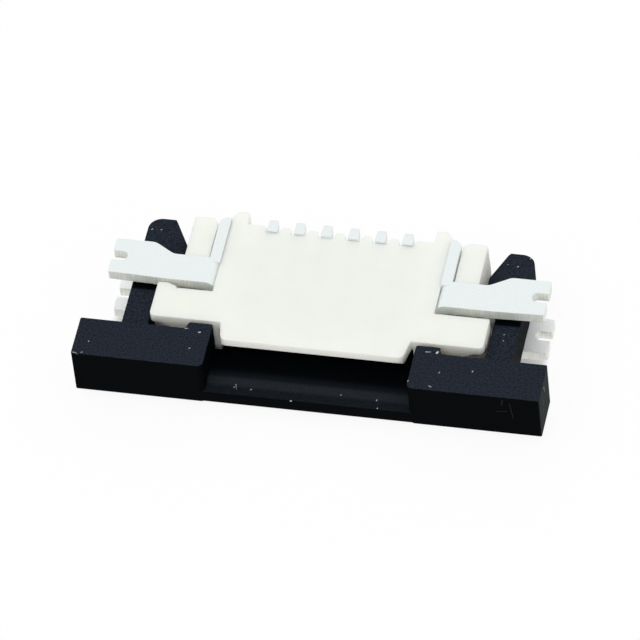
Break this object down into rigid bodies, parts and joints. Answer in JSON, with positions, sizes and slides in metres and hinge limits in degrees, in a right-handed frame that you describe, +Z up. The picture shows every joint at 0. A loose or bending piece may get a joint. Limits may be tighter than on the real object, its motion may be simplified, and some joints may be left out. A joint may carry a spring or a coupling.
{
  "type": "fpc connector",
  "caption": "Surface-mount slide-lock connector for flat flexible cable: light housing, dark slider with latch arms, plated contacts and notched hold-downs.",
  "frame": {"origin": "centre of the overall box, on the flat face that the part rests on", "axes": "+X across the contacts, +Y from the slider towards the solder tails, +Z up, out of the solder side"},
  "size_m": [0.0172, 0.0074, 0.0025],
  "materials": {
    "housing_plastic": "moulded natural liquid crystal polymer, satin",
    "slider_plastic": "moulded black glass-filled polyamide, fine satin",
    "tin_plate": "stamped copper alloy, matt tin plate"
  },
  "bodies": {
    "body": {"housing": "housing_plastic", "hold_down_left": "tin_plate", "hold_down_right": "tin_plate", "contact_1": "tin_plate", "contact_2": "tin_plate", "contact_3": "tin_plate", "contact_4": "tin_plate", "contact_5": "tin_plate", "contact_6": "tin_plate"},
    "lock": {"slider": "slider_plastic"}
  },
  "joints": [
    {"name": "slider_pull", "type": "slide", "parent": "body", "child": "lock", "axis": [0, -1, 0], "range_m": [0, 0.0016]}
  ]
}
